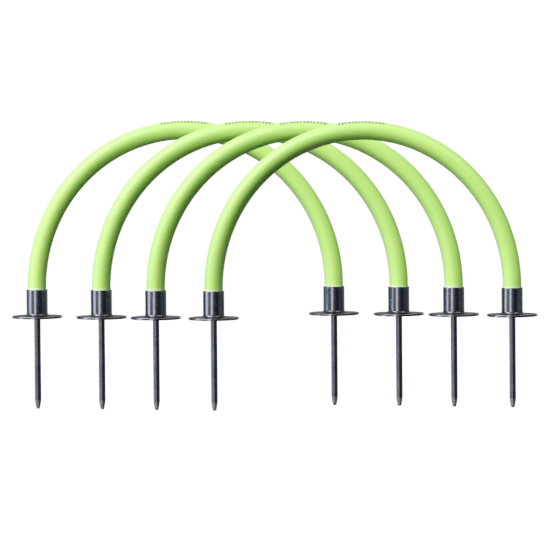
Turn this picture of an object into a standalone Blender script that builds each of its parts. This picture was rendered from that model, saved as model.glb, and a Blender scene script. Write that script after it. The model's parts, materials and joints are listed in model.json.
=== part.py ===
"""A set of four low hoops for a training course.

Each hoop is one bent plastic tube.  Both of its ends push into a steel foot: a
short pipe sleeve welded to a round foot plate, with a ground spike below it.

Frame: the turf is the plane z = 0, with the spikes below it.  X runs across the
openings, Y runs along the course, and the origin is at the middle of the set.
Lengths are in metres.
"""

import math

import bmesh
import bpy
from mathutils import Vector

# Clearance between pieces that touch.
GAP = 0.0003

# Hoop tube.
TUBE_RADIUS = 0.0147
TUBE_WALL = 0.003
LEG_SPACING = 0.470
SPRING_HEIGHT = 0.048
CROWN_RISE = 0.2467
TUBE_SIDES = 16
ARC_SEGMENTS = 24

# Foot plate.
PLATE_RADIUS = 0.040
PLATE_THICKNESS = 0.0035
PLATE_EDGE = 0.0008
PLATE_SIDES = 24

# Sleeve: 1 inch pipe, with a weld fillet round its base.
SLEEVE_RADIUS = 0.01685
SLEEVE_TOP = 0.045
SLEEVE_RIM = 0.0006
FILLET_WIDTH = 0.0045
FILLET_SEGMENTS = 3

# Spike: round bar with a tapered, blunted point.
SPIKE_RADIUS = 0.005
SPIKE_DEPTH = 0.144
SPIKE_HEAD = 0.005
SPIKE_TAPER = 0.014
SPIKE_BLUNT_RADIUS = 0.0022
SPIKE_BLUNT_EDGE = 0.001
SPIKE_SIDES = 12

# The tube's end stops just above the foot plate.
END_CLEARANCE = 0.0015
TUBE_END = PLATE_THICKNESS + END_CLEARANCE

# Where the hoops stand: each in its own plane across the course.
HOOP_PITCH = 0.031
HOOP_OFFSETS = (-0.138, -0.037, 0.048, 0.138)

TUBE_LOOK = ("lime_plastic", (0.46, 0.83, 0.18), 0.38, 0.0)
PLATED_LOOK = ("plated_steel", (0.30, 0.31, 0.34), 0.25, 1.0)
SPIKE_LOOK = ("spike_steel", (0.34, 0.35, 0.38), 0.32, 1.0)


def clear_scene():
    """Remove every object of the open file."""
    for item in list(bpy.data.objects):
        bpy.data.objects.remove(item, do_unlink=True)


def make_material(name, color, roughness, metallic):
    """Return a Principled material with the given look."""
    material = bpy.data.materials.new(name)
    material.use_nodes = True
    shader = material.node_tree.nodes["Principled BSDF"]
    shader.inputs["Base Color"].default_value = (*color, 1.0)
    shader.inputs["Roughness"].default_value = roughness
    shader.inputs["Metallic"].default_value = metallic
    material.diffuse_color = (*color, 1.0)
    return material


def mesh_from_bmesh(name, shape, material, crease_degrees=35):
    """Close a bmesh into a smooth-shaded mesh with sharp edges."""
    bmesh.ops.recalc_face_normals(shape, faces=shape.faces)
    mesh = bpy.data.meshes.new(name)
    shape.to_mesh(mesh)
    shape.free()
    mesh.materials.append(material)
    mesh.shade_smooth()
    mesh.set_sharp_from_angle(angle=math.radians(crease_degrees))
    return mesh


def bridge_rings(shape, ring, next_ring):
    """Join two rings of the same number of vertices with quads."""
    count = len(ring)
    for side in range(count):
        after = (side + 1) % count
        shape.faces.new((ring[side], ring[after], next_ring[after], next_ring[side]))


def hoop_path():
    """Return (point, outward normal) pairs up one leg, over the crown and down."""
    half_span = LEG_SPACING / 2
    path = [(Vector((-half_span, 0, TUBE_END)), Vector((-1, 0, 0)))]
    for step in range(ARC_SEGMENTS + 1):
        angle = math.pi * (1 - step / ARC_SEGMENTS)
        point = Vector((half_span * math.cos(angle), 0, SPRING_HEIGHT + CROWN_RISE * math.sin(angle)))
        normal = Vector((CROWN_RISE * math.cos(angle), 0, half_span * math.sin(angle)))
        path.append((point, normal.normalized()))
    path.append((Vector((half_span, 0, TUBE_END)), Vector((1, 0, 0))))
    return path


def tube_ring(shape, point, normal, radius):
    """Add one ring of the tube, in the plane of normal and Y."""
    ring = []
    for side in range(TUBE_SIDES):
        angle = 2 * math.pi * side / TUBE_SIDES
        offset = normal * math.cos(angle) + Vector((0, 1, 0)) * math.sin(angle)
        ring.append(shape.verts.new(point + offset * radius))
    return ring


def hoop_tube_mesh(material):
    """Sweep a hollow tube along the hoop's path."""
    shape = bmesh.new()
    outer = []
    inner = []
    for point, normal in hoop_path():
        outer.append(tube_ring(shape, point, normal, TUBE_RADIUS))
        inner.append(tube_ring(shape, point, normal, TUBE_RADIUS - TUBE_WALL))
    for index in range(len(outer) - 1):
        bridge_rings(shape, outer[index], outer[index + 1])
        bridge_rings(shape, inner[index], inner[index + 1])
    bridge_rings(shape, outer[0], inner[0])
    bridge_rings(shape, outer[-1], inner[-1])
    return mesh_from_bmesh("hoop_tube", shape, material)


def spin_profile(shape, profile, sides):
    """Add a ring of vertices round Z for each (radius, height) point and join them in order."""
    rings = []
    for radius, height in profile:
        ring = []
        for side in range(sides):
            angle = 2 * math.pi * side / sides
            ring.append(shape.verts.new((radius * math.cos(angle), radius * math.sin(angle), height)))
        rings.append(ring)
    for ring, next_ring in zip(rings, rings[1:]):
        bridge_rings(shape, ring, next_ring)
    return rings


def turned_ring(name, profile, sides, material):
    """Spin a closed profile that stays off the axis."""
    shape = bmesh.new()
    rings = spin_profile(shape, profile, sides)
    bridge_rings(shape, rings[-1], rings[0])
    return mesh_from_bmesh(name, shape, material)


def turned_bar(name, profile, sides, material):
    """Spin an open profile and cap both its ends."""
    shape = bmesh.new()
    rings = spin_profile(shape, profile, sides)
    shape.faces.new(rings[0])
    shape.faces.new(rings[-1])
    return mesh_from_bmesh(name, shape, material)


def sleeve_mesh(material):
    """Pipe sleeve: plain bore, eased rim, and a hollow weld fillet at its base."""
    base = PLATE_THICKNESS + GAP
    bore = TUBE_RADIUS + GAP
    profile = [
        (bore, base),
        (bore, SLEEVE_TOP - SLEEVE_RIM),
        (bore + SLEEVE_RIM, SLEEVE_TOP),
        (SLEEVE_RADIUS - SLEEVE_RIM, SLEEVE_TOP),
        (SLEEVE_RADIUS, SLEEVE_TOP - SLEEVE_RIM),
    ]
    for step in range(FILLET_SEGMENTS + 1):
        angle = math.pi / 2 * step / FILLET_SEGMENTS
        radius = SLEEVE_RADIUS + FILLET_WIDTH * (1 - math.cos(angle))
        height = base + SLEEVE_RIM + FILLET_WIDTH * (1 - math.sin(angle))
        profile.append((radius, height))
    profile.append((SLEEVE_RADIUS + FILLET_WIDTH, base))
    return turned_ring("sleeve", profile, TUBE_SIDES, material)


def plate_mesh(material):
    """Round foot plate with eased edges and a hole for the spike."""
    hole = SPIKE_RADIUS + GAP
    profile = [
        (hole, 0.0),
        (hole, PLATE_THICKNESS),
        (PLATE_RADIUS - PLATE_EDGE, PLATE_THICKNESS),
        (PLATE_RADIUS, PLATE_THICKNESS - PLATE_EDGE),
        (PLATE_RADIUS, PLATE_EDGE),
        (PLATE_RADIUS - PLATE_EDGE, 0.0),
    ]
    return turned_ring("foot_plate", profile, PLATE_SIDES, material)


def spike_mesh(material):
    """Round bar through the plate, with its head inside the sleeve."""
    profile = [
        (SPIKE_RADIUS, PLATE_THICKNESS + SPIKE_HEAD),
        (SPIKE_RADIUS, SPIKE_TAPER - SPIKE_DEPTH),
        (SPIKE_BLUNT_RADIUS, SPIKE_BLUNT_EDGE - SPIKE_DEPTH),
        (SPIKE_BLUNT_RADIUS - SPIKE_BLUNT_EDGE, -SPIKE_DEPTH),
    ]
    return turned_bar("spike", profile, SPIKE_SIDES, material)


def place(name, mesh, parent, location):
    """Add one named object for a mesh, under a parent."""
    item = bpy.data.objects.new(name, mesh)
    bpy.context.collection.objects.link(item)
    item.parent = parent
    item.location = location
    return item


def build_set():
    """Build every hoop with its two feet."""
    plastic = make_material(*TUBE_LOOK)
    plated = make_material(*PLATED_LOOK)
    bar = make_material(*SPIKE_LOOK)
    tube = hoop_tube_mesh(plastic)
    foot_pieces = (
        ("sleeve", sleeve_mesh(plated)),
        ("foot_plate", plate_mesh(plated)),
        ("spike", spike_mesh(bar)),
    )
    last_hoop = len(HOOP_OFFSETS) - 1
    for index, offset in enumerate(HOOP_OFFSETS):
        hoop_name = f"hoop_{index + 1}"
        course_position = HOOP_PITCH * (last_hoop / 2 - index)
        hoop = place(f"{hoop_name}_frame", None, None, (offset, course_position, 0))
        place(f"{hoop_name}_tube", tube, hoop, (0, 0, 0))
        for side_name, side in (("left", -1), ("right", 1)):
            axis = (side * LEG_SPACING / 2, 0, 0)
            foot = place(f"{hoop_name}_{side_name}_foot", None, hoop, axis)
            for piece_name, mesh in foot_pieces:
                place(f"{hoop_name}_{side_name}_{piece_name}", mesh, foot, (0, 0, 0))


clear_scene()
build_set()
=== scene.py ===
"""Looks of the training hoops: plastic tubes, plated steel feet, studio and camera.

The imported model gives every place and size.  Each hoop's tube, sleeves, foot
plates and spikes are remade here as fine meshes with procedural materials, and
each new piece rides on the body of the part that it replaces.
"""

import json
import math

import bmesh
import bpy
from mathutils import Matrix, Vector, noise


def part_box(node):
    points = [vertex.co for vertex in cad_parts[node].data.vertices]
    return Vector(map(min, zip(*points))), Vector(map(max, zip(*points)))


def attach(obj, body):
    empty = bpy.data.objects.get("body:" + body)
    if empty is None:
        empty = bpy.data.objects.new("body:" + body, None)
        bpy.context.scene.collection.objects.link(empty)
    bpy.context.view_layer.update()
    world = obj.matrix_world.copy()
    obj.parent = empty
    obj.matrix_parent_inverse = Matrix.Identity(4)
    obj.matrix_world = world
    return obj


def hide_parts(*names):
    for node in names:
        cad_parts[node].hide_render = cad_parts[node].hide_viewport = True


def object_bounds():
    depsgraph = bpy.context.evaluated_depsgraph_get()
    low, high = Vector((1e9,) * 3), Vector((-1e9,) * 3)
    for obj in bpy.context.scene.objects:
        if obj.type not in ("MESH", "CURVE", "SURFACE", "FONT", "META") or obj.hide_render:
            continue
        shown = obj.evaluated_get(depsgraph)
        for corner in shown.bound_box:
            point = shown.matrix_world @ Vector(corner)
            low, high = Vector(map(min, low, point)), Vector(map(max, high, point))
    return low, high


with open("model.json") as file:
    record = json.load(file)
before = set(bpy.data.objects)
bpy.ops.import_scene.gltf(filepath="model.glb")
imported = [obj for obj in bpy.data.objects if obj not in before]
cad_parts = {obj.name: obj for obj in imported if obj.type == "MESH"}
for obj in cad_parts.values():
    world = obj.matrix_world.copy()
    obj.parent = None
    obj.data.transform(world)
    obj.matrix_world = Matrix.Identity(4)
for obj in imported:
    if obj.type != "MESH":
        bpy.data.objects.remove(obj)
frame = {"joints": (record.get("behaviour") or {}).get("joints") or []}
cad_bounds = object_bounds()

HOOPS = (1, 2, 3, 4)
SIDES = ("left", "right")

# Lengths are in metres, and heights are above the turf, unless a comment says otherwise.
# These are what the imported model's boxes don't say.
PIECE_GAP = 0.0003
SHARP_ANGLE = math.radians(40)
CORNER_STEPS = 6

# Tube.
SPRING_HEIGHT = 0.048
TUBE_WALL = 0.003
TUBE_SIDES = 48
ARC_STEPS = 150
LEG_STEPS = 8
END_EASE = 0.0006

# Pale band of the tube just above the sleeve: a painted highlight where the tube's lip catches light, with
# scuffs; and the fainter scuffs inside the sleeve.
SCUFF_AND_HIGHLIGHT_HEIGHT = 0.0026
SCUFF_AND_HIGHLIGHT_FADE = 0.0012
SCUFF_AND_HIGHLIGHT_RAGGEDNESS = 0.0010
HIDDEN_SCUFF_DEPTH = 0.006
HIDDEN_SCUFF_SHARE = 0.3

# Printed dashes on the crown, round and along the tube from the middle of its outer side.
DASH_ROW_LENGTH = 0.072
DASH_LINE = -0.0046
DASH_HEIGHT = 0.0096
DASH_PITCH = 0.0050
DASH_LENGTH = 0.0029
SHORT_DASH_LENGTH = 0.00225
DASH_SOFTNESS = 0.0003
DASHES_IN_GROUP = 4

# Sleeve: its wall is out of round by slow waves round it and up it.
FOOT_SIDES = 72
SLEEVE_RADIUS = 0.01685
SLEEVE_STEPS = 10
RIM_ROUND = 0.0007
OUT_OF_ROUND = 0.00007
WAVES_ROUND = 1.6
WAVES_UP = 32
WALL_TOLERANCE = 0.0001

# Weld bead between the sleeve and the plate.
FILLET_WIDTH = 0.0044
FILLET_HEIGHT = 0.0040
FILLET_STEPS = 10
BEAD_LAP = 0.0006
BEAD_CROWN = 0.0002
BEAD_RIPPLES = 34
BEAD_RIPPLE_HEIGHT = 0.00016
BEAD_LUMP_HEIGHT = 0.00035
BEAD_SLANT = 0.5
BEAD_WANDER = 0.8
BEAD_RISE_SHARE = 0.7

# Foot plate: its face sags towards the rim, from a flat middle.
PLATE_ROUND = 0.0009
PLATE_FACE_STEPS = 9
PLATE_FLAT_RADIUS = 0.022
PLATE_SAG_WIDTH = 0.012
PLATE_SAG = 0.00014
PLATE_SAG_MEAN = 0.6
PLATE_UNEVENNESS = 42

# Spike.
SPIKE_TAPER = 0.014
SPIKE_HEAD_EASE = 0.0008
SHAFT_STEPS = 12
POINT_FLATS = 7
POINT_FLAT_DEPTH = 0.8
POINT_FLAT_GROWTH = 2.2
POINT_FLAT_TURN = 0.4
POINT_END_SHARE = 0.60
POINT_NOSE = 0.0014
POINT_SWELL = 0.00022
POINT_FRAY = 0.0012
TAPER_STEPS = 8
NOSE_STEPS = 6

# Colours, linear.  Each plating has a dark, a bluish and a warmer tone.
LIME_COOL = (0.405, 0.745, 0.172)
LIME_WARM = (0.448, 0.755, 0.183)
LIME_PALE = (0.52, 0.84, 0.26)
# Pale colour for scuffs and for the painted highlight of the tube's lip above the sleeve.
LIME_SCUFF_AND_HIGHLIGHT = (0.66, 0.84, 0.50)
INK = (0.016, 0.028, 0.014)
PLATE_TONES = ((0.20, 0.205, 0.225), (0.27, 0.31, 0.38), (0.31, 0.29, 0.30))
# The weld's tones are darker than the plate's: painted shade in the fillet between sleeve and plate.
WELD_SHADED_TONES = ((0.12, 0.125, 0.14), (0.17, 0.19, 0.23), (0.20, 0.195, 0.20))
SPIKE_BLUE = (0.150, 0.165, 0.205)
SPIKE_GREY = (0.200, 0.200, 0.225)
BARE_STEEL = (0.30, 0.295, 0.29)

# Lowest and highest roughness of each plating, and its streaks per metre round and along.
SLEEVE_ROUGHNESS = (0.16, 0.27)
DISC_ROUGHNESS = (0.07, 0.15)
WELD_ROUGHNESS = (0.18, 0.30)
DRAWN_STREAKS = (2200.0, 30.0)
WELD_STREAKS = (900.0, 900.0)

# Camera.
CAMERA_AZIMUTH = -2.5
CAMERA_ELEVATION = 3.2
CAMERA_ROLL = -0.50
CAMERA_DISTANCE = 12.0
CAMERA_LENS = 498.0
CAMERA_TARGET = (0.0019, 0.0, 0.0663)

# What metal mirrors round the hoops: azimuth in degrees, brightness and tint.  Azimuth 0
# is in front of the hoops and 90 is to their right.  There is a bright card at the left
# and one near the camera, dark cloth at the front right, and two more cards behind.
NEUTRAL = (1.0, 1.0, 1.0)
COOL = (0.94, 1.00, 1.05)
WARM = (1.04, 0.98, 1.00)
NAVY = (0.80, 0.95, 1.25)
TEAL = (0.85, 1.02, 1.05)
SURROUND = (
    (-180, 0.36, NEUTRAL),
    (-168, 0.36, NEUTRAL),
    (-160, 1.50, NEUTRAL),
    (-150, 1.50, NEUTRAL),
    (-142, 0.60, NEUTRAL),
    (-118, 0.60, COOL),
    (-102, 0.80, COOL),
    (-86, 3.60, COOL),
    (-76, 3.60, COOL),
    (-65, 1.10, COOL),
    (-54, 0.45, NEUTRAL),
    (-41, 0.55, NEUTRAL),
    (-31, 1.10, WARM),
    (-26, 3.70, WARM),
    (-19, 4.00, WARM),
    (-12, 0.90, WARM),
    (-3, 0.42, WARM),
    (8, 0.28, WARM),
    (20, 0.14, NAVY),
    (36, 0.10, NAVY),
    (46, 0.14, NAVY),
    (60, 0.34, TEAL),
    (76, 0.48, TEAL),
    (88, 0.40, TEAL),
    (98, 0.30, TEAL),
    (116, 0.45, NEUTRAL),
    (140, 0.60, NEUTRAL),
    (150, 1.50, NEUTRAL),
    (160, 1.50, NEUTRAL),
    (168, 0.36, NEUTRAL),
    (180, 0.36, NEUTRAL),
)

# What metal mirrors overhead: a ceiling, brighter at its top, with soft boxes on it.  A
# soft box has an azimuth, an elevation and a half width in degrees, and a brightness.
SOFTBOXES = (
    (-66, 41, 33, 8.3),
    (48, 45, 20, 3.0),
)
SOFTBOX_CORE = 0.35
CEILING = 0.65
ZENITH = 0.9

# Share of its brightness that the mirrored room keeps straight below.
GROUND = 0.12

# Diffuse light from the sky, and the white that the camera sees.
SKY_BELOW = 0.0
SKY_ABOVE = 0.12
BACKDROP_WHITE = 2.1

# Where each of them fades into the next, as sines of the elevation.
ZENITH_FADE = (0.86, 0.97)
CEILING_FADE = (0.20, 0.45)
GROUND_FADE = (-0.80, -0.40)
SKY_FADE = (-0.55, 0.85)

# Soft lights: azimuth and elevation in degrees, distance, width and height, watts.
AREA_LIGHTS = (
    ("key", -55, 50, 4.0, (3.0, 3.0), 425),
    ("side", -75, -20, 0.8, (0.3, 0.5), 2.6),
    ("rear", 180, 38, 4.0, (1.2, 1.2), 165),
)
LIGHT_AIM = Vector((0, 0, 0.12))

# The two spots of each tube: azimuth and elevation in degrees, the place that the spot
# aims at (beside the tube's middle, and height), cone in degrees, soft share, watts.
TUBE_SPOTS = (
    ("right", -5, 26, (0.525, 0.09), 26.5, 0.5, 415),
    ("left", 3, 4, (-0.373, -0.10), 11.5, 0.6, 245),
)
SPOT_DISTANCE = 3.0
SPOT_SOFTNESS = 0.2

# Floor.  It fades to the backdrop's white between two distances from the hoops' middle.
FLOOR_SIZE = 120.0
FLOOR_CLEAR = 0.001
FLOOR_PAPER = (0.92, 0.92, 0.92)
FLOOR_FADE = (0.5, 1.6)
FLOOR_GLOW = 0.75

# Scene brightness against shown brightness: straight in the darks, with a long shoulder
# that lets bright plastic go pale instead of flat green.
TONE_WHITE = 2.0
TONE_CURVE = (
    (0.28, 0.27),
    (0.58, 0.50),
    (1.00, 0.70),
    (1.40, 0.84),
)
TONE_GAMMA = 0.72


# ---------------------------------------------------------------- mesh helpers


def skin(name, rings, around, along, joined):
    """Skin a stack of closed rings with quads; around and along give the UV map in metres.

    A joined stack closes on itself.  Any other stack gets a flat face at each end.
    """
    shape = bmesh.new()
    rows = [[shape.verts.new(point) for point in ring] for ring in rings]
    uv_layer = shape.loops.layers.uv.new("surface")
    sides = len(rows[0])
    steps = len(rows) if joined else len(rows) - 1
    for step in range(steps):
        following = (step + 1) % len(rows)
        for side in range(sides):
            beside = (side + 1) % sides
            face = shape.faces.new(
                (rows[step][side], rows[step][beside], rows[following][beside], rows[following][side])
            )
            corners = ((side, step), (side + 1, step), (side + 1, following), (side, following))
            for loop, (column, row) in zip(face.loops, corners):
                loop[uv_layer].uv = (around[column], along[row])
    if not joined:
        shape.faces.new(rows[0])
        shape.faces.new(rows[-1])
    bmesh.ops.recalc_face_normals(shape, faces=shape.faces)
    mesh = bpy.data.meshes.new(name)
    shape.to_mesh(mesh)
    shape.free()
    mesh.shade_smooth()
    mesh.set_sharp_from_angle(angle=SHARP_ANGLE)
    return mesh


def corner(centre_radius, centre_height, size, start, end):
    """Points of a round corner in a turned profile, from one angle to another in degrees."""
    points = []
    for step in range(CORNER_STEPS + 1):
        angle = math.radians(start + (end - start) * step / CORNER_STEPS)
        points.append((centre_radius + size * math.cos(angle), centre_height + size * math.sin(angle)))
    return points


def turned(name, profile, shift, joined=True):
    """Spin a profile of (radius, height) points round Z; shift moves a point by (radius, height)."""
    along = [0.0]
    for start, end in zip(profile, profile[1:]):
        along.append(along[-1] + math.dist(start, end))
    widest = max(radius for radius, _ in profile)
    around = [2 * math.pi * widest * side / FOOT_SIDES for side in range(FOOT_SIDES + 1)]
    rings = []
    for radius, height in profile:
        ring = []
        for side in range(FOOT_SIDES):
            angle = 2 * math.pi * side / FOOT_SIDES
            out, up = shift(radius, height, angle)
            reach = radius + out
            ring.append((reach * math.cos(angle), reach * math.sin(angle), height + up))
        rings.append(ring)
    return skin(name, rings, around, along, joined)


def add_piece(name, mesh, material, location, body, slot, *nodes):
    """Place a mesh as one visible piece that rides on a body and may replace CAD nodes."""
    mesh.materials.clear()
    mesh.materials.append(material)
    piece = bpy.data.objects.new(name, mesh)
    bpy.context.collection.objects.link(piece)
    piece.location = location
    # No piece throws light of its own colour onto the next one.
    piece.visible_diffuse = False
    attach(piece, body)
    if nodes:
        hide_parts(*nodes)
    return piece


# ---------------------------------------------------------------- node helpers


class Nodes:
    """Short names for building one node tree."""

    def __init__(self, tree):
        self.tree = tree

    def new(self, kind, **settings):
        """Add a node of a kind, which is its type's name after ShaderNode."""
        node = self.tree.nodes.new(f"ShaderNode{kind}")
        for key, value in settings.items():
            setattr(node, key, value)
        return node

    def put(self, value, socket):
        """Give a socket another node's output, a colour as a triple, or a number."""
        if isinstance(value, bpy.types.NodeSocket):
            self.tree.links.new(value, socket)
        elif isinstance(value, tuple):
            socket.default_value = (*value, 1.0)
        else:
            socket.default_value = value

    def coordinates(self, kind):
        return self.new("TexCoord").outputs[kind]

    def parts(self, vector):
        node = self.new("SeparateXYZ")
        self.put(vector, node.inputs["Vector"])
        return tuple(node.outputs)

    def streaked(self, surface, around, along):
        """Scale the UV map by one factor round a piece and another along it."""
        node = self.new("Mapping")
        node.inputs["Scale"].default_value = (around, along, 1.0)
        self.put(surface, node.inputs["Vector"])
        return node.outputs["Vector"]

    def noise(self, vector, scale=1.0, detail=3.0, roughness=0.5):
        node = self.new("TexNoise")
        self.put(scale, node.inputs["Scale"])
        self.put(detail, node.inputs["Detail"])
        self.put(roughness, node.inputs["Roughness"])
        self.put(vector, node.inputs["Vector"])
        return node.outputs["Fac"]

    def spread(self, value, low, high, to_low, to_high, interpolation="LINEAR"):
        """Map one range of a value onto another, held at its ends."""
        node = self.new("MapRange", interpolation_type=interpolation)
        self.put(value, node.inputs["Value"])
        self.put(low, node.inputs["From Min"])
        self.put(high, node.inputs["From Max"])
        self.put(to_low, node.inputs["To Min"])
        self.put(to_high, node.inputs["To Max"])
        return node.outputs["Result"]

    def fade(self, value, low, high, to_low, to_high):
        """Map one range of a value onto another with soft ends."""
        return self.spread(value, low, high, to_low, to_high, "SMOOTHSTEP")

    def math(self, operation, *values):
        node = self.new("Math", operation=operation)
        for value, socket in zip(values, node.inputs):
            self.put(value, socket)
        return node.outputs["Value"]

    def mix(self, share, first, second):
        """Blend two colours, given as triples or as outputs, by a share."""
        node = self.new("Mix", data_type="RGBA")
        self.put(share, node.inputs["Factor"])
        self.put(first, node.inputs[6])
        self.put(second, node.inputs[7])
        return node.outputs[2]

    def blend(self, share, first, second):
        """Blend two shaders by a share."""
        node = self.new("MixShader")
        self.put(share, node.inputs["Fac"])
        self.put(first, node.inputs[1])
        self.put(second, node.inputs[2])
        return node.outputs["Shader"]

    def bump(self, height, distance, strength, below=None):
        """Raise the surface by a height, on top of the relief below."""
        node = self.new("Bump")
        self.put(distance, node.inputs["Distance"])
        self.put(strength, node.inputs["Strength"])
        self.put(height, node.inputs["Height"])
        if below:
            self.put(below, node.inputs["Normal"])
        return node.outputs["Normal"]


class Finish(Nodes):
    """One material's node tree, with its shader at hand."""

    def __init__(self, name):
        self.material = bpy.data.materials.new(name)
        self.material.use_nodes = True
        super().__init__(self.material.node_tree)
        self.shader = self.tree.nodes["Principled BSDF"]

    def set(self, name, value):
        self.put(value, self.shader.inputs[name])


# ------------------------------------------------------------------- materials


def lime_plastic(sleeve_top):
    """Satin lime-green pipe: extrusion lines, a faint grain, light scuffs with a painted highlight above
    the sleeve, printed dashes.
    """
    n = Finish("lime_plastic")
    n.set("Metallic", 0.0)
    n.set("IOR", 1.5)
    n.set("Specular IOR Level", 1.0)
    n.set("Coat Weight", 1.0)
    n.set("Coat Roughness", 0.45)
    n.set("Sheen Weight", 0.10)
    n.set("Sheen Roughness", 0.5)
    surface = n.coordinates("UV")
    body = n.coordinates("Object")

    cloud = n.noise(body, scale=9.0, detail=2.0)
    colour = n.mix(n.spread(cloud, 0.3, 0.7, 0, 1), LIME_COOL, LIME_WARM)
    drift = n.noise(n.streaked(surface, 420.0, 6.0), detail=2.0)
    colour = n.mix(n.spread(drift, 0.35, 0.8, 0, 0.12), colour, LIME_PALE)
    # Painted highlight with scuffs: a pale band just above the sleeve, fainter inside it.
    colour = n.mix(sleeve_scuffs_and_highlight(n, surface, body, sleeve_top), colour, LIME_SCUFF_AND_HIGHLIGHT)
    colour = n.mix(printed_dashes(n, surface, body), colour, INK)
    n.set("Base Color", colour)

    rubbed = n.noise(n.streaked(surface, 900.0, 160.0), detail=4.0, roughness=0.7)
    n.set("Roughness", n.spread(rubbed, 0.35, 0.75, 0.50, 0.60))

    wave = n.noise(body, scale=55.0, detail=1.0)
    lines = n.noise(n.streaked(surface, 1500.0, 4.0), roughness=0.6)
    grain = n.noise(body, scale=700.0, roughness=0.6)
    relief = n.bump(wave, distance=0.0006, strength=0.10)
    relief = n.bump(lines, distance=0.00008, strength=0.35, below=relief)
    relief = n.bump(grain, distance=0.00007, strength=0.40, below=relief)
    n.set("Normal", relief)
    return n.material


def sleeve_scuffs_and_highlight(n, surface, body, sleeve_top):
    """Share of pale plastic: a ragged band above the sleeve, which is a painted highlight of the tube's
    lip with scuffs, and fainter scuffs inside it.
    """
    _, _, height = n.parts(body)
    jitter = n.spread(n.noise(body, scale=300.0, detail=2.0), 0, 1, -SCUFF_AND_HIGHLIGHT_RAGGEDNESS, SCUFF_AND_HIGHLIGHT_RAGGEDNESS)
    band_top = sleeve_top + SCUFF_AND_HIGHLIGHT_HEIGHT
    band = n.spread(n.math("ADD", height, jitter), band_top, band_top + SCUFF_AND_HIGHLIGHT_FADE, 1, 0)
    patches = n.spread(n.noise(n.streaked(surface, 260.0, 900.0)), 0.3, 0.6, 0.35, 0.85)
    hidden_end = sleeve_top - HIDDEN_SCUFF_DEPTH
    hidden = n.spread(height, hidden_end, sleeve_top, HIDDEN_SCUFF_SHARE, 1)
    return n.math("MULTIPLY", n.math("MULTIPLY", band, patches), hidden)


def printed_dashes(n, surface, body):
    """Share of ink for a plain row of dashes along the crown, each fourth one shorter."""
    around, along, _ = n.parts(surface)
    inside_row = n.math("LESS_THAN", n.math("ABSOLUTE", along), DASH_ROW_LENGTH / 2)
    off_line = n.math("ABSOLUTE", n.math("SUBTRACT", around, DASH_LINE))
    inside_line = n.spread(off_line, DASH_HEIGHT / 2 - DASH_SOFTNESS, DASH_HEIGHT / 2, 1, 0)
    phase = n.math("FLOORED_MODULO", along, DASH_PITCH)
    dash = n.spread(phase, DASH_LENGTH, DASH_LENGTH + DASH_SOFTNESS, 1, 0)
    group_phase = n.math("FLOORED_MODULO", along, DASH_PITCH * DASHES_IN_GROUP)
    group_end = DASH_PITCH * (DASHES_IN_GROUP - 1) + SHORT_DASH_LENGTH
    inside_group = n.math("LESS_THAN", group_phase, group_end)
    worn = n.spread(n.noise(body, scale=900.0, detail=2.0), 0.3, 0.6, 0.55, 0.95)
    ink = n.math("MULTIPLY", inside_row, inside_line)
    for share in (dash, inside_group, worn):
        ink = n.math("MULTIPLY", ink, share)
    return ink


def plated_steel(name, tones, roughness, streaks):
    """Dark polished plating: tinted clouds, drawn streaks and fine pits."""
    n = Finish(name)
    n.set("Metallic", 1.0)
    surface = n.coordinates("UV")
    body = n.coordinates("Object")
    dark, blue, warm = tones
    cloud = n.noise(body, scale=38.0, roughness=0.6)
    tint = n.mix(n.spread(cloud, 0.38, 0.62, 0, 1), blue, warm)
    patch = n.noise(body, scale=95.0, detail=4.0, roughness=0.65)
    n.set("Base Color", n.mix(n.spread(patch, 0.35, 0.7, 0.15, 0.85), tint, dark))

    drawn = n.noise(n.streaked(surface, *streaks), detail=4.0, roughness=0.65)
    n.set("Roughness", n.spread(drawn, 0.3, 0.7, *roughness))

    pits = n.noise(body, scale=1500.0, detail=2.0, roughness=0.6)
    relief = n.bump(patch, distance=0.00025, strength=0.12)
    relief = n.bump(drawn, distance=0.00004, strength=0.30, below=relief)
    relief = n.bump(pits, distance=0.00003, strength=0.25, below=relief)
    n.set("Normal", relief)
    return n.material


def spike_steel(point_start):
    """Plated bar that is ground bare below the height where its point starts."""
    n = Finish("spike_steel")
    n.set("Metallic", 1.0)
    surface = n.coordinates("UV")
    body = n.coordinates("Object")
    _, _, height = n.parts(body)
    jitter = n.spread(n.noise(body, scale=420.0, detail=2.0), 0, 1, -POINT_FRAY, POINT_FRAY)
    frayed = n.math("ADD", height, jitter)
    ground = n.spread(frayed, point_start - POINT_FRAY / 2, point_start + POINT_FRAY / 2, 1, 0)
    cloud = n.noise(body, scale=30.0, roughness=0.6)
    bar = n.mix(n.spread(cloud, 0.35, 0.65, 0, 1), SPIKE_BLUE, SPIKE_GREY)
    n.set("Base Color", n.mix(ground, bar, BARE_STEEL))

    drawn = n.noise(n.streaked(surface, 2600.0, 24.0), detail=4.0, roughness=0.65)
    bar_roughness = n.spread(drawn, 0.3, 0.7, 0.26, 0.38)
    point_roughness = n.math("MULTIPLY", ground, 0.14)
    n.set("Roughness", n.math("ADD", bar_roughness, point_roughness))

    grinding = n.noise(n.streaked(surface, 60.0, 3200.0), roughness=0.6)
    relief = n.bump(drawn, distance=0.00004, strength=0.30)
    relief = n.bump(n.math("MULTIPLY", grinding, ground), distance=0.00012, strength=0.55, below=relief)
    n.set("Normal", relief)
    return n.material


# ------------------------------------------------------------------ the pieces


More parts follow.
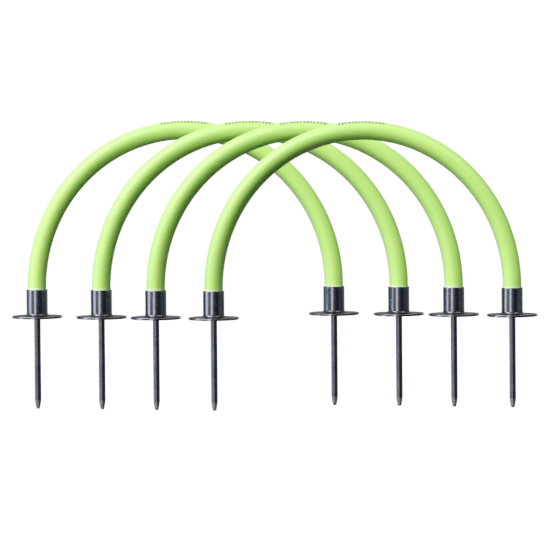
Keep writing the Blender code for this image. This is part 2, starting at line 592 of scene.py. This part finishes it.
def tube_mesh(name, half_span, crown_height, end_height, radius):
    """Hollow tube up one leg, over the crown and down the other, about the hoop's own middle."""
    rise = crown_height - radius - SPRING_HEIGHT

    def leg(side):
        """Centre points and outward normals of one leg, from its end up."""
        for step in range(LEG_STEPS):
            height = end_height + (SPRING_HEIGHT - end_height) * step / LEG_STEPS
            yield Vector((side * half_span, 0, height)), Vector((side, 0, 0))

    path = list(leg(-1))
    for step in range(ARC_STEPS + 1):
        angle = math.pi * (1 - step / ARC_STEPS)
        point = Vector((half_span * math.cos(angle), 0, SPRING_HEIGHT + rise * math.sin(angle)))
        normal = Vector((rise * math.cos(angle), 0, half_span * math.sin(angle)))
        path.append((point, normal.normalized()))
    path += reversed(list(leg(1)))

    run = [0.0]
    for (start, _), (end, _) in zip(path, path[1:]):
        run.append(run[-1] + (end - start).length)
    length = run[-1]
    angles = [2 * math.pi * side / TUBE_SIDES - math.pi for side in range(TUBE_SIDES + 1)]
    around = [angle * radius for angle in angles]
    along = []
    rings = []

    def add_ring(station, size, distance, lift=0.0):
        point, normal = station
        centre = point + Vector((0, 0, lift))
        offsets = (normal * math.cos(angle) + Vector((0, 1, 0)) * math.sin(angle) for angle in angles[:-1])
        rings.append([centre + offset * size for offset in offsets])
        along.append(distance - length / 2)

    add_ring(path[0], radius - END_EASE, 0.0)
    add_ring(path[0], radius, END_EASE, END_EASE)
    for station, distance in list(zip(path, run))[1:-1]:
        add_ring(station, radius, distance)
    add_ring(path[-1], radius, length - END_EASE, END_EASE)
    add_ring(path[-1], radius - END_EASE, length)
    for station, distance in reversed(list(zip(path, run))):
        add_ring(station, radius - TUBE_WALL, distance)
    return skin(name, rings, around, along, joined=True)


def sleeve_mesh(base, top, bore):
    """Pipe sleeve with a rounded rim and a wall that is a little out of round."""
    rim_base = top - RIM_ROUND
    profile = [(bore, base), (bore, (base + top) / 2)]
    profile += corner(bore + RIM_ROUND, rim_base, RIM_ROUND, 180, 90)
    profile += corner(SLEEVE_RADIUS - RIM_ROUND, rim_base, RIM_ROUND, 90, 0)
    for step in range(1, SLEEVE_STEPS + 1):
        profile.append((SLEEVE_RADIUS, rim_base + (base - rim_base) * step / SLEEVE_STEPS))

    def out_of_round(radius, height, angle):
        if radius < SLEEVE_RADIUS - WALL_TOLERANCE:
            return 0.0, 0.0
        place = Vector((WAVES_ROUND * math.cos(angle), WAVES_ROUND * math.sin(angle), WAVES_UP * height))
        return OUT_OF_ROUND * noise.noise(place), 0.0

    return turned("sleeve", profile, out_of_round)


def bead_mesh(base):
    """Weld fillet between sleeve and plate, laid in overlapping ripples."""
    inner = SLEEVE_RADIUS - BEAD_LAP
    profile = [(inner, base), (inner, base + FILLET_HEIGHT)]
    for step in range(FILLET_STEPS + 1):
        angle = math.radians(90 * step / FILLET_STEPS)
        radius = SLEEVE_RADIUS + FILLET_WIDTH * (1 - math.cos(angle))
        height = base + FILLET_HEIGHT * (1 - math.sin(angle))
        profile.append((radius, height + BEAD_CROWN))
    profile.append((SLEEVE_RADIUS + FILLET_WIDTH, base))

    def ripple(radius, height, angle):
        share = (radius - inner) / (FILLET_WIDTH + BEAD_LAP)
        if share <= 0 or height <= base:
            return 0.0, 0.0
        place = Vector((math.cos(angle), math.sin(angle), 0.0))
        slant = BEAD_SLANT * math.sin(math.pi * share)
        wander = BEAD_WANDER * noise.noise(place * 3)
        wave = abs(math.sin(BEAD_RIPPLES / 2 * angle + slant + wander))
        lump = BEAD_LUMP_HEIGHT * noise.noise(place * 2.1 + Vector((0, 0, 4)))
        rise = math.sin(math.pi * min(1.0, share)) * (BEAD_RIPPLE_HEIGHT * (wave - 0.5) + lump)
        return rise * BEAD_RISE_SHARE, rise * BEAD_RISE_SHARE

    return turned("weld_bead", profile, ripple)


def plate_mesh(radius, hole, thickness):
    """Round plate with a punched hole, rolled edges and a slightly uneven face."""
    rim = radius - PLATE_ROUND
    profile = [(hole, 0.0), (hole, thickness)]
    for step in range(1, PLATE_FACE_STEPS):
        profile.append((hole + (rim - hole) * step / PLATE_FACE_STEPS, thickness))
    profile += corner(rim, thickness - PLATE_ROUND, PLATE_ROUND, 90, 0)
    profile += corner(rim, PLATE_ROUND, PLATE_ROUND, 0, -90)
    profile.append(((hole + rim) / 2, 0.0))

    def uneven(point_radius, height, angle):
        if height < thickness / 2:
            return 0.0, 0.0
        place = Vector((math.cos(angle), math.sin(angle), 0.0)) * point_radius * PLATE_UNEVENNESS
        share = min(1.0, max(0.0, (point_radius - PLATE_FLAT_RADIUS) / PLATE_SAG_WIDTH))
        return 0.0, -PLATE_SAG * share * (PLATE_SAG_MEAN + noise.noise(place))

    return turned("foot_plate", profile, uneven)


def spike_mesh(radius, head, tip):
    """Round bar with an eased head and a hand-ground, blunted point."""
    shaft_top = head - SPIKE_HEAD_EASE
    point_top = tip + SPIKE_TAPER
    nose_top = tip + POINT_NOSE
    end_radius = radius * POINT_END_SHARE
    profile = [(radius - SPIKE_HEAD_EASE, head), (radius, shaft_top)]
    for step in range(1, SHAFT_STEPS + 1):
        profile.append((radius, shaft_top + (point_top - shaft_top) * step / SHAFT_STEPS))
    for step in range(1, TAPER_STEPS + 1):
        share = step / TAPER_STEPS
        swell = POINT_SWELL * math.sin(math.pi * share)
        taper_radius = radius + (end_radius - radius) * share + swell
        profile.append((taper_radius, point_top + (nose_top - point_top) * share))
    for step in range(1, NOSE_STEPS):
        angle = math.radians(90 * step / NOSE_STEPS)
        profile.append((end_radius * math.cos(angle), tip + POINT_NOSE * (1 - math.sin(angle))))

    def flats(point_radius, height, angle):
        share = min(1.0, max(0.0, (point_top - height) / SPIKE_TAPER * POINT_FLAT_GROWTH))
        sector = 2 * math.pi / POINT_FLATS
        turn = (angle + POINT_FLAT_TURN) % sector - sector / 2
        flat = math.cos(sector / 2) / math.cos(turn)
        return point_radius * (flat - 1) * share * POINT_FLAT_DEPTH, 0.0

    return turned("spike", profile, flats, joined=False)


def build_tubes(material):
    """Replace each hoop's tube, and return the new ones."""
    tubes = []
    for hoop in HOOPS:
        node = f"hoop_{hoop}_tube"
        low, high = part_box(node)
        radius = (high.y - low.y) / 2
        middle = Vector(((low.x + high.x) / 2, (low.y + high.y) / 2, 0))
        half_span = (high.x - low.x) / 2 - radius
        mesh = tube_mesh(f"hoop_{hoop}_pipe", half_span, high.z, low.z, radius)
        tubes.append(
            add_piece(f"hoop_{hoop}_pipe", mesh, material, middle, f"hoop_{hoop}", "hoop_plastic", node)
        )
    return tubes


def build_feet(sleeve_metal, disc_metal, bead_metal, bar):
    """Replace each foot's sleeve, plate and spike, and lay its weld bead."""
    for hoop in HOOPS:
        for side in SIDES:
            foot = f"hoop_{hoop}_{side}"
            body = f"{foot}_foot"
            sleeve_low, sleeve_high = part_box(f"{foot}_sleeve")
            plate_low, plate_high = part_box(f"{foot}_foot_plate")
            spike_low, spike_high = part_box(f"{foot}_spike")
            tube_low, tube_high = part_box(f"hoop_{hoop}_tube")
            axis = Vector(((plate_low.x + plate_high.x) / 2, (plate_low.y + plate_high.y) / 2, 0))
            bore = (tube_high.y - tube_low.y) / 2 + PIECE_GAP
            spike_radius = (spike_high.x - spike_low.x) / 2
            plate_radius = (plate_high.x - plate_low.x) / 2

            sleeve = sleeve_mesh(sleeve_low.z, sleeve_high.z, bore)
            bead = bead_mesh(plate_high.z)
            plate = plate_mesh(plate_radius, spike_radius + PIECE_GAP, plate_high.z)
            spike = spike_mesh(spike_radius, spike_high.z, spike_low.z)
            pieces = (
                ("socket", sleeve, sleeve_metal, "plated_steel", (f"{foot}_sleeve",)),
                ("weld_bead", bead, bead_metal, "plated_steel", ()),
                ("disc", plate, disc_metal, "plated_steel", (f"{foot}_foot_plate",)),
                ("stake", spike, bar, "spike_steel", (f"{foot}_spike",)),
            )
            for piece_name, mesh, material, slot, nodes in pieces:
                add_piece(f"{foot}_{piece_name}", mesh, material, axis, body, slot, *nodes)


# ---------------------------------------------------------- studio and camera


def direction(azimuth, elevation):
    """Unit vector from the hoops towards a place round them, in degrees."""
    turn, tilt = math.radians(azimuth), math.radians(elevation)
    return Vector(
        (math.sin(turn) * math.cos(tilt), -math.cos(turn) * math.cos(tilt), math.sin(tilt))
    )


def add_camera():
    """Long lens in front, a little to the left and a little above, with a slight roll."""
    data = bpy.data.cameras.new("camera")
    data.lens = CAMERA_LENS
    data.sensor_width = 36.0
    data.clip_start = 0.5
    data.clip_end = 200.0
    camera = bpy.data.objects.new("camera", data)
    bpy.context.collection.objects.link(camera)
    back = direction(CAMERA_AZIMUTH, CAMERA_ELEVATION)
    target = Vector(CAMERA_TARGET)
    roll = Matrix.Rotation(math.radians(CAMERA_ROLL), 4, "Z")
    facing = (-back).to_track_quat("-Z", "Y").to_matrix().to_4x4()
    camera.matrix_world = Matrix.Translation(target + back * CAMERA_DISTANCE) @ facing @ roll
    bpy.context.scene.camera = camera


def add_light(name, data, aim, azimuth, elevation, distance):
    """Place a light that faces its aim, casts no shadow and is seen only as diffuse light."""
    data.use_shadow = False
    light = bpy.data.objects.new(name, data)
    bpy.context.collection.objects.link(light)
    back = direction(azimuth, elevation)
    light.location = aim + back * distance
    light.rotation_euler = (-back).to_track_quat("-Z", "Y").to_euler()
    light.visible_camera = False
    light.visible_glossy = False
    return light


def add_area_light(name, azimuth, elevation, distance, size, power):
    """Soft light on all the hoops."""
    data = bpy.data.lights.new(name, "AREA")
    data.shape = "RECTANGLE"
    data.size, data.size_y = size
    data.energy = power
    add_light(name, data, LIGHT_AIM, azimuth, elevation, distance)


def light_tubes(tubes):
    """Give each tube its own soft-edged spots, so that all the tubes are lit alike."""
    for hoop, tube in zip(HOOPS, tubes):
        for side, azimuth, elevation, (beside, height), cone, blend, power in TUBE_SPOTS:
            name = f"{side}_{hoop}"
            data = bpy.data.lights.new(name, "SPOT")
            data.spot_size = math.radians(cone)
            data.spot_blend = blend
            data.shadow_soft_size = SPOT_SOFTNESS
            data.energy = power
            aim = Vector((tube.location.x + beside, 0, height))
            light = add_light(name, data, aim, azimuth, elevation, SPOT_DISTANCE)
            lit = bpy.data.collections.new(name)
            lit.objects.link(tube)
            light.light_linking.receiver_collection = lit


def mirrored_strips(n, east, north):
    """Colour of the strips round the hoops, by azimuth."""
    azimuth = n.math("ARCTAN2", east, n.math("MULTIPLY", north, -1.0))
    turn = n.math("ADD", n.math("DIVIDE", azimuth, 2 * math.pi), 0.5)
    ramp = n.new("ValToRGB")
    stops = ramp.color_ramp.elements
    for index, (place, brightness, tint) in enumerate(SURROUND):
        position = place / 360.0 + 0.5
        stop = stops[index] if index in (0, 1) else stops.new(position)
        stop.position = position
        stop.color = (*(brightness * part for part in tint), 1.0)
    n.put(turn, ramp.inputs["Fac"])
    return ramp.outputs["Color"]


def mirrored_ceiling(n, ray, up):
    """Brightness of the ceiling, with its soft boxes and its top."""
    ceiling = n.math("ADD", n.fade(up, *ZENITH_FADE, 0, ZENITH), CEILING)
    for azimuth, elevation, half_width, brightness in SOFTBOXES:
        towards = n.new("VectorMath", operation="DOT_PRODUCT")
        n.put(ray, towards.inputs[0])
        towards.inputs[1].default_value = direction(azimuth, elevation)
        edge = math.cos(math.radians(half_width))
        core = math.cos(math.radians(half_width * SOFTBOX_CORE))
        box = n.fade(towards.outputs["Value"], edge, core, 0, brightness)
        ceiling = n.math("ADD", box, ceiling)
    return ceiling


def add_world():
    """White for the camera, a soft sky for diffuse light, and a studio for metal to mirror."""
    world = bpy.data.worlds.new("studio")
    world.use_nodes = True
    world.cycles.sampling_method = "NONE"
    bpy.context.scene.world = world
    n = Nodes(world.node_tree)
    n.tree.nodes.clear()
    ray = n.coordinates("Generated")
    east, north, up = n.parts(ray)

    sky = n.new("Background")
    n.put(n.fade(up, *SKY_FADE, SKY_BELOW, SKY_ABOVE), sky.inputs["Strength"])
    studio = n.new("Background")
    overhead = n.fade(up, *CEILING_FADE, 0, 1)
    room = n.mix(overhead, mirrored_strips(n, east, north), mirrored_ceiling(n, ray, up))
    n.put(room, studio.inputs["Color"])
    n.put(n.fade(up, *GROUND_FADE, GROUND, 1), studio.inputs["Strength"])
    white = n.new("Background")
    n.put(BACKDROP_WHITE, white.inputs["Strength"])

    path = n.new("LightPath")
    sky_or_studio = n.blend(
        path.outputs["Is Glossy Ray"], sky.outputs["Background"], studio.outputs["Background"]
    )
    seen = n.blend(path.outputs["Is Camera Ray"], sky_or_studio, white.outputs["Background"])
    n.put(seen, n.new("OutputWorld").inputs["Surface"])


def floor_paper():
    """Pale paper near the hoops that fades to the backdrop's white further off."""
    n = Finish("floor")
    n.tree.nodes.remove(n.shader)
    distance = n.new("VectorMath", operation="LENGTH")
    n.put(n.coordinates("Object"), distance.inputs[0])
    share = n.fade(distance.outputs["Value"], *FLOOR_FADE, FLOOR_GLOW, 1)
    paper = n.new("BsdfDiffuse")
    n.put(FLOOR_PAPER, paper.inputs["Color"])
    glow = n.new("Emission")
    n.put(BACKDROP_WHITE, glow.inputs["Strength"])
    shade = n.blend(share, paper.outputs["BSDF"], glow.outputs["Emission"])
    n.put(shade, n.tree.nodes["Material Output"].inputs["Surface"])
    return n.material


def add_floor():
    """Wide flat floor, low enough for a foot at the end of its pull."""
    half = FLOOR_SIZE / 2
    mesh = bpy.data.meshes.new("floor")
    corners = ((-half, -half, 0), (half, -half, 0), (half, half, 0), (-half, half, 0))
    mesh.from_pydata(corners, [], [(0, 1, 2, 3)])
    mesh.materials.append(floor_paper())
    floor = bpy.data.objects.new("floor", mesh)
    bpy.context.collection.objects.link(floor)
    foot_travel = max(
        joint["range_m"][1] for joint in frame["joints"] if joint["child"].endswith("_foot")
    )
    floor.location.z = cad_bounds[0].z - foot_travel - FLOOR_CLEAR
    floor.visible_glossy = False
    floor.visible_diffuse = False


def set_tone():
    """Contrasty display with a soft shoulder in the highlights."""
    view = bpy.context.scene.view_settings
    view.view_transform = "Standard"
    view.gamma = TONE_GAMMA
    view.use_curve_mapping = True
    mapping = view.curve_mapping
    mapping.white_level = (TONE_WHITE, TONE_WHITE, TONE_WHITE)
    # The fourth curve acts on red, green and blue together.
    combined = mapping.curves[3]
    for brightness, shown in TONE_CURVE:
        combined.points.new(brightness / TONE_WHITE, shown)
    mapping.update()


# ------------------------------------------------------------------------ main

add_camera()
add_world()
add_floor()
for area_light in AREA_LIGHTS:
    add_area_light(*area_light)
set_tone()

# All the feet are alike, so one sleeve and one spike give the heights for the finishes.
_, sleeve_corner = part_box("hoop_1_left_sleeve")
spike_corner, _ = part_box("hoop_1_left_spike")
light_tubes(build_tubes(lime_plastic(sleeve_corner.z)))
build_feet(
    plated_steel("plated_steel", PLATE_TONES, SLEEVE_ROUGHNESS, DRAWN_STREAKS),
    plated_steel("disc_plating", PLATE_TONES, DISC_ROUGHNESS, DRAWN_STREAKS),
    # The weld's darker tones are painted shade in the fillet between sleeve and plate.
    plated_steel("weld_plating", WELD_SHADED_TONES, WELD_ROUGHNESS, WELD_STREAKS),
    spike_steel(spike_corner.z + SPIKE_TAPER),
)
